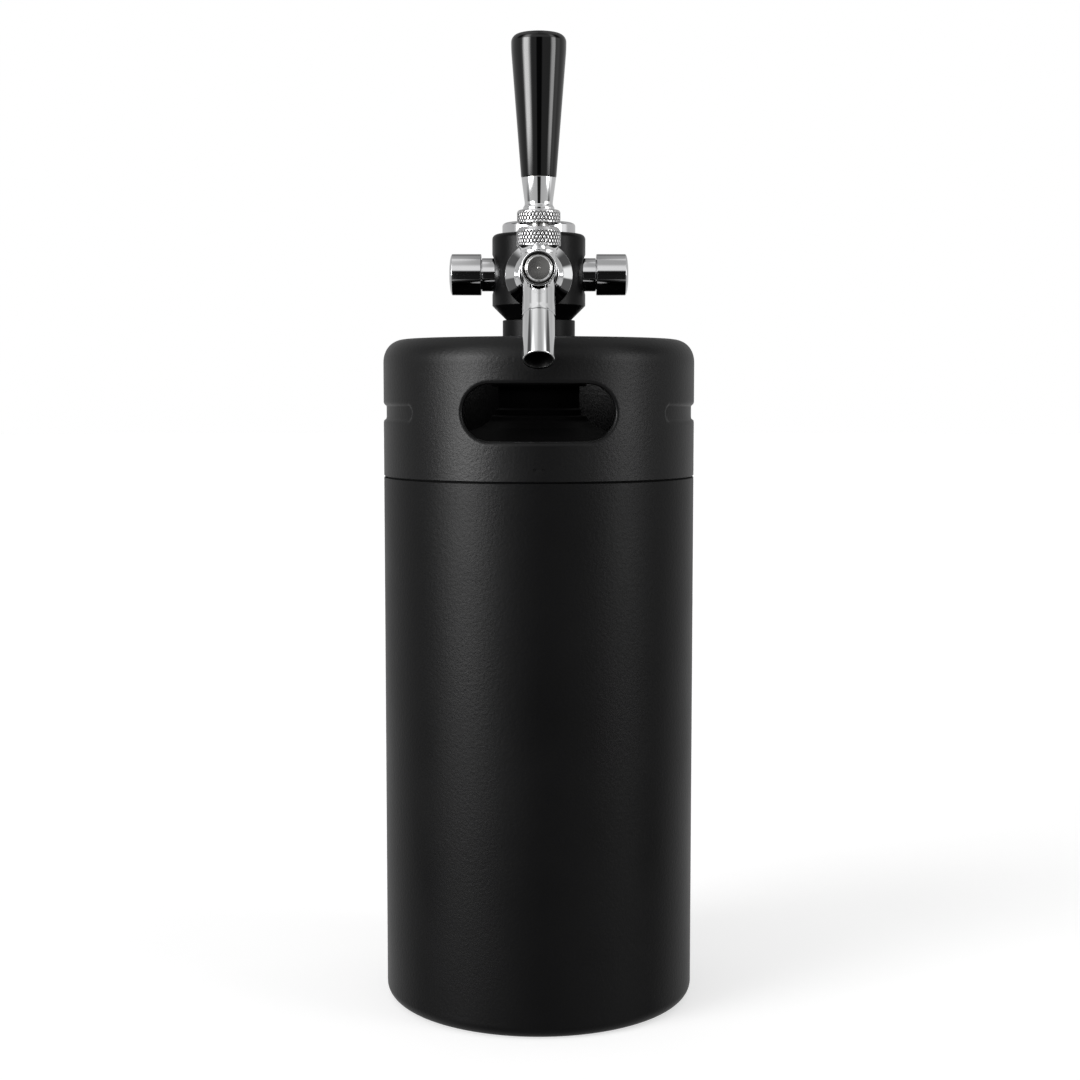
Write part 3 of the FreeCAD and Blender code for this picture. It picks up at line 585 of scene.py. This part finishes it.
def sdf_body():
    """Faucet body: barrel, lever post and elbow run into each other with cast-like blends.

    A rough voxel skin is pulled onto the exact blended surface, then cut square where it meets its neighbours."""
    ax = np.array([0.0, 0.0, TAP_Z])
    J = np.array([0.0, -81.3, 350.4])
    A = np.array([0.0, -64.6, TAP_Z])
    tdir = np.array([0.0, -math.sin(math.radians(34)), -math.cos(math.radians(34))])

    def cyl_y(p, y0, y1, r):
        d = np.hypot(p[:, 0], p[:, 2] - TAP_Z) - r
        e = np.maximum(y0 - p[:, 1], p[:, 1] - y1)
        return np.maximum(d, e)

    def post(p):
        rad = np.hypot(p[:, 0], p[:, 1] - TAP_Y)
        z = p[:, 2]
        t = np.clip((z - 380.6) / (385.2 - 380.6), 0, 1)
        r = 8.25 + 2.15 * t ** 2.2
        d = (rad - r) * 0.92
        return np.maximum(d, np.maximum(TAP_Z - z, z - 390.0))

    def capsule(p, a, b, r):
        pa, ba = p - a, b - a
        h = np.clip((pa @ ba) / (ba @ ba), 0, 1)
        return np.linalg.norm(pa - h[:, None] * ba, axis=1) - r

    def smin(a, b, k):
        h = np.clip(0.5 + 0.5 * (b - a) / k, 0, 1)
        return b * (1 - h) + a * h - k * h * (1 - h)

    def f(p):
        # under the lathed rim the barrel steps in, so the rim hides its end
        d = cyl_y(p, -78.4, -34.0, 8.4 - 0.5 * np.clip((-p[:, 1] - 76.3) / 0.8, 0, 1))
        # the boss in front of the elbow stays round: its blend fades out towards the front face
        e = capsule(p, A + np.array([0, 2.0, 0]), J, 7.72)
        e = smin(e, capsule(p, J, J + tdir * 9.0, 7.66), 0.6)
        d2 = smin(d, e, 2.2)
        d3 = np.minimum(d, e)
        w = np.clip((-p[:, 1] - 76.5) / 2.5, 0, 1)
        d = d2 * (1 - w) + d3 * w
        return smin(d, post(p), 1.6)

    me = bpy.data.meshes.new("rough")
    bm = bmesh.new()
    for mtx, r, h in ((place("-y", (0, -61, TAP_Z)), 8.6, 52), (place("z", (0, TAP_Y, 381.5)), 9.2, 17), (place("lean", tuple((A + J) / 2), 36.0), 8.3, 34), (place("lean", tuple(J + tdir * 3), 34.0), 8.3, 16)):
        bmesh.ops.create_cone(bm, cap_ends=True, segments=48, radius1=r, radius2=r, depth=h, matrix=mtx)
    bm.to_mesh(me)
    bm.free()
    rough = bpy.data.objects.new("rough", me)
    bpy.context.scene.collection.objects.link(rough)
    md = rough.modifiers.new("skin", "REMESH")
    md.mode = "VOXEL"
    md.voxel_size = 0.42
    dg = bpy.context.evaluated_depsgraph_get()
    skin = bpy.data.meshes.new_from_object(rough.evaluated_get(dg))
    v = np.empty(len(skin.vertices) * 3)
    skin.vertices.foreach_get("co", v)
    v = v.reshape(-1, 3)
    eps = 0.01
    for _ in range(14):
        d = f(v)
        g = np.stack([(f(v + np.eye(3)[i] * eps) - f(v - np.eye(3)[i] * eps)) / (2 * eps) for i in range(3)], axis=1)
        g2 = np.maximum((g * g).sum(1), 0.05)
        step = np.clip(d / g2, -0.6, 0.6)
        v = v - g * step[:, None]
    faces = [tuple(p.vertices) for p in skin.polygons]
    bpy.data.objects.remove(rough)
    bm = bmesh.new()
    vs = [bm.verts.new(c) for c in v]
    for fc in faces:
        bm.faces.new([vs[i] for i in fc])
    bm.verts.index_update()
    # the closed front of the boss comes off above the elbow's front; the rim covers the edge
    front = [fc for fc in bm.faces if fc.calc_center_median().z > 365.9 and fc.calc_center_median().y < -75.0]
    geom = list({x for fc in front for x in fc.verts}) + list({x for fc in front for x in fc.edges}) + front
    bmesh.ops.bisect_plane(bm, geom=geom, dist=1e-5, plane_co=(0, -77.9, 0), plane_no=(0, -1, 0), clear_outer=True)
    cuts = [((0, 0, 384.72), (0, 0, 1)), ((0, -38.2, 0), (0, 1, 0)), (tuple(J), tuple(tdir))]
    for co, no in cuts:
        geom = list(bm.verts) + list(bm.edges) + list(bm.faces)
        bmesh.ops.bisect_plane(bm, geom=geom, dist=1e-5, plane_co=co, plane_no=no, clear_outer=True)
    bm.edges.ensure_lookup_table()
    bound = [e for e in bm.edges if e.is_boundary]
    # inner wall: each open edge is turned inward to the bore it meets
    for co, no in cuts:
        co, no = Vector(co), Vector(no)
        es = [e for e in bound if e.is_valid and all(abs((x.co - co).dot(no)) < 1e-3 for x in e.verts)]
        if not es:
            continue
        ret = bmesh.ops.extrude_edge_only(bm, edges=es)
        nv = [x for x in ret["geom"] if isinstance(x, bmesh.types.BMVert)]
        cen = sum((x.co for x in nv), Vector()) / len(nv)
        for x in nv:
            x.co = cen + (x.co - cen) * 0.88
        es2 = [x for x in ret["geom"] if isinstance(x, bmesh.types.BMEdge)]
        ret = bmesh.ops.extrude_edge_only(bm, edges=es2)
        nv = [x for x in ret["geom"] if isinstance(x, bmesh.types.BMVert)]
        for x in nv:
            x.co = x.co - no * 3.0
    me = bpy.data.meshes.new("faucet_cast")
    bm.to_mesh(me)
    bm.free()
    verts = np.empty(len(me.vertices) * 3)
    me.vertices.foreach_get("co", verts)
    fcs = [tuple(p.vertices) for p in me.polygons]
    return finish_mesh("faucet_cast", verts.reshape(-1, 3), fcs, M["chrome"], "tap_head", ("faucet_body",), sharp=50.0)


sdf_body()
# front rim of the boss, its dark seal and the plug face behind it, whose steel is darkened as a painted dark
# reflection
lathe("boss_rim", [(8.0, 76.2), (8.40, 76.2), (8.41, 78.7), (8.41, 80.0, 0.85), (7.52, 80.0, 0.1), (7.52, 64.0), (7.62, 64.0), (7.62, 76.2)], M["chrome"], "tap_head", mtx=FRONT, segs=160)
lathe("boss_seal", [(6.53, 78.1), (7.47, 78.1), (7.47, 79.38, 0.45), (6.53, 79.38, 0.45)], M["rubber"], "tap_head", ("front_seal",), mtx=FRONT, segs=128)
lathe("plug_rim", [(2.0, 55.5), (2.0, 75.6), (6.45, 75.6), (6.45, 79.55, 0.25), (5.75, 80.25, 0.15), (5.5, 80.2, 0.1), (5.5, 79.4), (2.4, 79.4)], M["chrome"], "shaft", mtx=FRONT, segs=160)
lathe("plug_face", [(0, 79.45), (5.5, 79.45), (5.5, 80.15, 0.1), (0.9, 80.1, 0.3), (0.62, 80.25, 0.2), (0.5, 80.62, 0.15), (0, 80.68)], M["steel_painted_dark_reflection"], "shaft", mtx=FRONT, segs=128, closed=False)

# spout: thin tube, rounded mouth edge and a fine joint groove at the top
lathe("spout_pipe", [(6.8, 24.5, 0.12), (7.55, 24.5, 0.3), (7.55, 0.35, 0.12), (7.35, 0.2), (7.35, -0.2), (6.8, -0.2)],
      M["chrome"], "tap_head", ("spout_tube",), mtx=SPOUT, segs=160)


# a dark sleeve just inside the spout's own inner wall: painted shade in the bore
lathe("spout_bore_painted_shade", [(6.2, 0.6), (6.76, 0.6), (6.76, 23.9, 0.2), (6.55, 23.9), (6.2, 22.0)], M["bore"], "tap_head", mtx=SPOUT, segs=128)


def knurled(name, pts, z0, z1, teeth, depth, body, replaces, r_face, mtx, cols_per=10, pitch=None):
    """Turned ring with a diamond knurl between two heights; its deepest faces take a near-black metal, painted shade
    in the grooves.
    """
    prof = rounded(list(pts) + [pts[0]], 5)[:-1]
    dense = []
    cell = 2 * math.pi * r_face / teeth
    for a, b in zip(prof, prof[1:] + prof[:1]):
        dense.append(a)
        if abs(a[0] - b[0]) < 1e-6 and a[0] > r_face - 0.05 and abs(b[1] - a[1]) > 2.0:
            k = int(abs(b[1] - a[1]) / (cell / 9))
            for i in range(1, k):
                dense.append((a[0], a[1] + (b[1] - a[1]) * i / k))
    segs = teeth * cols_per
    verts, faces = lathe_data(dense, segs, True)
    v = np.array(verts)
    rad = np.hypot(v[:, 0], v[:, 1])
    ang = np.arctan2(v[:, 1], v[:, 0]) + math.pi
    u = ang / (2 * math.pi) * teeth
    w = (v[:, 2] - z0) / (cell * 1.8)
    tri = lambda q: 2 * np.abs(q - np.floor(q + 0.5))
    h = np.minimum(tri(u + w), tri(u - w))
    fade = np.clip((v[:, 2] - z0) / 0.5, 0, 1) * np.clip((z1 - v[:, 2]) / 0.5, 0, 1)
    drop = depth * (1 - np.clip(h * 2.2, 0, 1)) * fade * (rad > r_face - 0.02)
    s = np.where(rad > 1e-6, (rad - drop) / np.maximum(rad, 1e-6), 1)
    v[:, 0] *= s
    v[:, 1] *= s
    o = finish_mesh(name, v, faces, M["knurl"], body, replaces, mtx, sharp=60.0, weld=False)
    # the deepest faces take the near-black metal: painted shade in the knurl grooves
    o.data.materials.append(M["groove"])
    painted_shade_faces = np.array([drop[list(fc)].mean() for fc in faces]) > 0.45 * depth
    o.data.polygons.foreach_set("material_index", painted_shade_faces.astype(np.int32))
    return o


knurled("bonnet_ring", [(9.3, 385.7), (10.3, 385.7, 0.2), (10.6, 386.0, 0.2), (10.6, 393.0, 0.3), (9.5, 394.8, 0.4), (8.3, 394.8), (7.4, 392.1), (6.9, 391.1), (9.3, 391.1)],
        386.1, 393.0, 36, 0.45, "tap_head", ("bonnet",), 10.6, PIV)
knurled("lever_lock_ring", [(4.6, 399.3), (9.6, 399.3), (9.6, 396.7), (10.4, 396.7, 0.2), (10.4, 402.9, 1.3), (7.7, 402.9), (4.6, 402.9)],
        396.9, 401.8, 36, 0.42, "lever", ("lever_collar",), 10.4, PIV)
lathe("ferrule_cone", [(3.95, 402.95), (7.55, 402.95, 0.3), (7.5, 404.1, 0.5), (6.75, 405.3, 1.2), (6.72, 406.5, 3.0), (8.3, 418.35, 0.25), (5.6, 418.35), (5.6, 408.0), (3.95, 408.0)],
      M["chrome"], "lever", ("handle_ferrule",), mtx=PIV, segs=160, steps=8)
lathe("handle_grip", [
    (0, 432.2), (5.55, 432.2), (5.55, 418.5), (8.45, 418.5, 0.35), (13.12, 478.0, 60.0), (13.2, 485.5, 3.9), (0, 485.85)],
    M["gloss"], "lever", ("tap_handle",), mtx=PIV, segs=192, steps=12, closed=False)

# ---------------------------------------------------------------------------
# Floor, light and camera.
# ---------------------------------------------------------------------------
bm = bmesh.new()
bmesh.ops.create_circle(bm, cap_ends=True, segments=96, radius=12.0)
me = bpy.data.meshes.new("floor")
bm.to_mesh(me)
bm.free()
floor = bpy.data.objects.new("floor", me)
bpy.context.scene.collection.objects.link(floor)
fm, nt, b = new_mat("pale_floor")
v = object_coords(nt)
n = noise(nt, v, 6.0, 2.0)
nt.links.new(ramp(nt, n, [(0.3, (0.54, 0.54, 0.54)), (0.7, (0.56, 0.56, 0.56))]), b.inputs["Base Color"])
b.inputs["Emission Color"].default_value = (1, 1, 1, 1)
b.inputs["Emission Strength"].default_value = 0.58
b.inputs["Roughness"].default_value = 0.65
b.inputs["Specular IOR Level"].default_value = 0.2
me.materials.append(fm)
# the pale floor is seen and takes the shadow, and stays out of the black and chrome finishes
floor.visible_glossy = False
floor.visible_diffuse = False

world = bpy.data.worlds.new("studio")
bpy.context.scene.world = world
world.use_nodes = True
nt = world.node_tree
for nd in list(nt.nodes):
    nt.nodes.remove(nd)
out = nt.nodes.new("ShaderNodeOutputWorld")
tc = nt.nodes.new("ShaderNodeTexCoord")
sep = nt.nodes.new("ShaderNodeSeparateXYZ")
nt.links.new(tc.outputs["Generated"], sep.inputs["Vector"])


def mth(op, a, b_=None, c=None):
    n_ = nt.nodes.new("ShaderNodeMath")
    n_.operation = op
    for i, x in enumerate((a, b_, c)):
        if x is None:
            continue
        if isinstance(x, (int, float)):
            n_.inputs[i].default_value = x
        else:
            nt.links.new(x, n_.inputs[i])
    return n_.outputs[0]


neg_y = mth("MULTIPLY", sep.outputs["Y"], -1.0)
az = mth("ARCTAN2", sep.outputs["X"], neg_y)
turn = mth("MULTIPLY_ADD", az, 1 / (2 * math.pi), 0.5)
SKY = 20.0


def band(stops):
    r = nt.nodes.new("ShaderNodeValToRGB")
    els = r.color_ramp.elements
    while len(els) < len(stops):
        els.new(0.5)
    for e_, (deg, val) in zip(els, stops):
        e_.position = (deg + 180) / 360
        e_.color = (val / SKY, val / SKY, val / SKY, 1)
    nt.links.new(turn, r.inputs["Fac"])
    return r.outputs["Color"]


def by_height(lo, hi, a_deg, b_deg):
    r = nt.nodes.new("ShaderNodeMapRange")
    r.interpolation_type = "SMOOTHSTEP"
    r.inputs["From Min"].default_value = math.radians(a_deg)
    r.inputs["From Max"].default_value = math.radians(b_deg)
    nt.links.new(elev, r.inputs["Value"])
    m_ = nt.nodes.new("ShaderNodeMix")
    m_.data_type = "RGBA"
    nt.links.new(r.outputs["Result"], m_.inputs["Factor"])
    for src, sock in ((lo, "A"), (hi, "B")):
        if isinstance(src, float):
            m_.inputs[sock].default_value = (src / SKY, src / SKY, src / SKY, 1)
        else:
            nt.links.new(src, m_.inputs[sock])
    return m_.outputs["Result"]


elev = mth("ARCSINE", sep.outputs["Z"])
# level with the object: a dark gap in front, a tall soft box on the left, a narrower one on the right
level = band([(-180, 0.55), (-120, 0.5), (-84, 0.45), (-74, 0.95), (-62, 16.0), (-48, 16.0), (-34, 0.95), (-28, 0.45), (-12, 0.45), (-8, 0.008), (12, 0.008), (17, 0.45),
              (50, 0.42), (60, 7.0), (72, 7.0), (76, 0.95), (92, 0.95), (104, 0.5), (180, 0.55)])
above = band([(-180, 0.15), (-150, 0.4), (-108, 0.5), (-102, 0.08), (-82, 0.08), (-74, 0.95), (-62, 4.0), (-48, 4.0), (-34, 0.9), (0, 0.85), (50, 0.7),
              (60, 2.0), (72, 2.0), (76, 0.7), (82, 0.08), (102, 0.08), (108, 0.5), (150, 0.4), (180, 0.15)])
below = band([(-180, 0.75), (-130, 0.6), (-108, 0.5), (-102, 0.1), (-82, 0.1), (-76, 0.5), (-12, 0.42), (-8, 0.01), (12, 0.01), (16, 0.42), (76, 0.5), (82, 0.1), (102, 0.1), (108, 0.5), (130, 0.6), (180, 0.75)])
ceiling = band([(-180, 0.3), (-110, 0.85), (-70, 0.9), (-30, 0.7), (0, 0.42), (35, 0.4), (80, 0.8), (110, 0.7), (180, 0.3)])
ground = band([(-180, 0.5), (-110, 0.65), (-70, 0.6), (-45, 0.22), (-12, 0.4), (28, 0.2), (70, 0.55), (110, 0.6), (180, 0.5)])
sky = by_height(level, above, 15, 24)
sky = by_height(sky, ceiling, 40, 60)
sky = by_height(below, sky, -5, -1)
sky = by_height(ground, sky, -34, -27)
bg = nt.nodes.new("ShaderNodeBackground")
bg.inputs["Strength"].default_value = SKY
nt.links.new(sky, bg.inputs["Color"])
white = nt.nodes.new("ShaderNodeBackground")
white.inputs["Color"].default_value = (1, 1, 1, 1)
white.inputs["Strength"].default_value = 1.0
lp = nt.nodes.new("ShaderNodeLightPath")
ms = nt.nodes.new("ShaderNodeMixShader")
nt.links.new(lp.outputs["Is Camera Ray"], ms.inputs["Fac"])
nt.links.new(bg.outputs["Background"], ms.inputs[1])
nt.links.new(white.outputs["Background"], ms.inputs[2])
nt.links.new(ms.outputs["Shader"], out.inputs["Surface"])

cam_data = bpy.data.cameras.new("camera")
cam_data.sensor_width = 36.0
cam_data.lens = 1796.7 / 1080.0 * 36.0
cam_data.clip_start = 0.01
cam = bpy.data.objects.new("camera", cam_data)
cam.location = (0.0006, -0.9325, 0.3169)
cam.rotation_euler = (math.radians(90 - 4.8154), 0, 0)
bpy.context.scene.collection.objects.link(cam)
bpy.context.scene.camera = cam
bpy.context.scene.view_settings.view_transform = "Standard"
